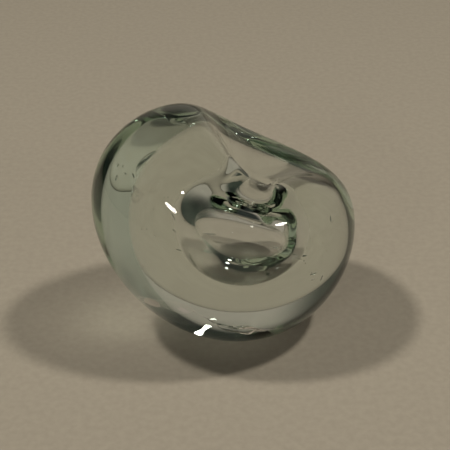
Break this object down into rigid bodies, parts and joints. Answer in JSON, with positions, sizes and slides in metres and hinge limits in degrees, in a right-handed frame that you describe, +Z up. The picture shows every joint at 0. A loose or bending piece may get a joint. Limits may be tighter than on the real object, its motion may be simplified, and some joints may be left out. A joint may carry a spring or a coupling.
{
  "type": "glass paperweight",
  "caption": "Freeform clear glass paperweight: a rounded two-lobed pebble with a blown hollow that opens in the cleft between the lobes, on a ground flat.",
  "frame": {"origin": "on the surface the piece stands on, under the middle of its outline", "axes": "+X towards the lower right lobe, -Y towards the front, +Z up"},
  "size_m": [0.0898, 0.072, 0.0798],
  "materials": {
    "casing_glass": "fire-polished clear glass, faintly green in the thick, ground flat underneath",
    "gather_glass": "fire-polished clear glass"
  },
  "bodies": {
    "root": {"outer_casing": "casing_glass", "inner_gather": "gather_glass"}
  },
  "joints": []
}
